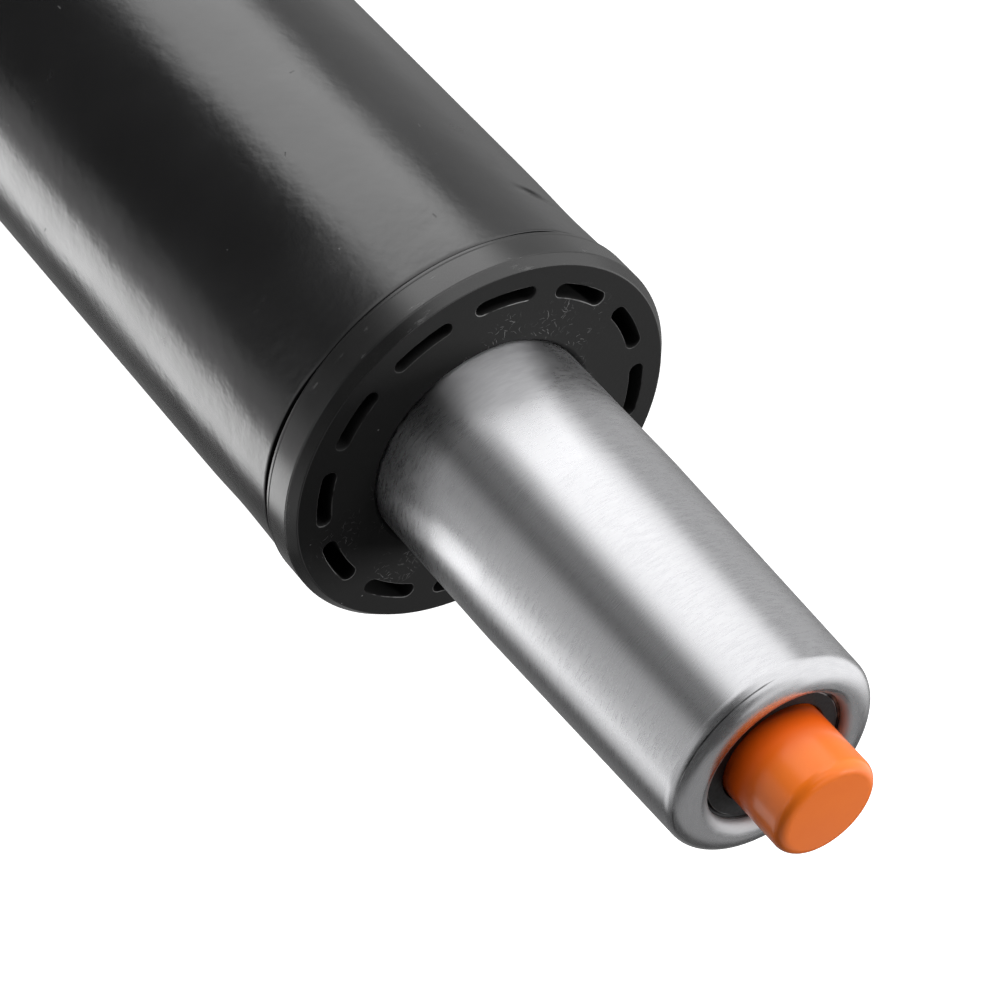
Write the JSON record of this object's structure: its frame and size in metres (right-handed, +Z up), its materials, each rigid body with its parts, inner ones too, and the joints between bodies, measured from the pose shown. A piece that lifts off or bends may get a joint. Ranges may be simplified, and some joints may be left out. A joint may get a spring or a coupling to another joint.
{
  "type": "chair gas lift cylinder",
  "caption": "Chair height gas lift: black tapered stand tube with a slotted guide bush, steel pressure tube with seat taper and rolled end, orange release button, rod on a thrust bearing.",
  "frame": {"origin": "centre of the stand tube's lower rim", "axes": "+Z up along the column towards the release button, -Y towards the side that the picture shows"},
  "size_m": [0.0508, 0.0508, 0.2887],
  "materials": {
    "stand_paint": "semi-gloss black paint",
    "bush_plastic": "moulded black plastic",
    "tube_steel": "satin, ground round the axis",
    "rod_chrome": "polished hard chrome",
    "bearing_steel": "polished bearing steel",
    "plain_steel": "zinc plated",
    "spring_steel": "blackened spring steel",
    "guide_alloy": "turned",
    "valve_brass": "turned brass",
    "cage_plastic": "natural moulded plastic",
    "cap_plastic": "moulded black plastic",
    "button_plastic": "semi-gloss orange",
    "rubber": "matt black rubber"
  },
  "bodies": {
    "stand": {"stand_tube": "stand_paint", "guide_bush": "bush_plastic", "base_plate": "plain_steel", "lower_race": "bearing_steel"},
    "bearing": {"ball_cage": "cage_plastic", "bearing_balls": "bearing_steel"},
    "rod": {"piston_rod": "rod_chrome", "upper_race": "bearing_steel", "bumper": "rubber", "clip_washer": "plain_steel", "retaining_clip": "spring_steel", "rebound_ring": "rubber", "piston": "valve_brass", "piston_seal": "rubber", "rod_nut": "plain_steel"},
    "cylinder": {"pressure_tube": "tube_steel", "inner_tube": "tube_steel", "rod_guide": "guide_alloy", "rod_seal": "rubber", "seal_washer": "plain_steel", "valve_body": "valve_brass", "valve_oring": "rubber", "pin_orings": "rubber", "valve_cap": "cap_plastic"},
    "release": {"valve_pin": "rod_chrome", "button_cap": "button_plastic"}
  },
  "joints": [
    {"name": "swivel", "type": "hinge", "parent": "stand", "child": "rod", "pos_m": [0, 0, 0.0162], "axis": [0, 0, 1], "continuous": true},
    {"name": "bearing_turn", "type": "hinge", "parent": "stand", "child": "bearing", "pos_m": [0, 0, 0.0162], "axis": [0, 0, 1], "continuous": true},
    {"name": "height", "type": "slide", "parent": "rod", "child": "cylinder", "axis": [0, 0, 1], "range_m": [0, 0.1]},
    {"name": "button_press", "type": "slide", "parent": "cylinder", "child": "release", "axis": [0, 0, -1], "range_m": [0, 0.004], "stiffness_N_per_m": 500, "springref_m": -0.02}
  ],
  "couplings": [
    {"joint": "bearing_turn", "follows": "swivel", "ratio": 0.5}
  ]
}
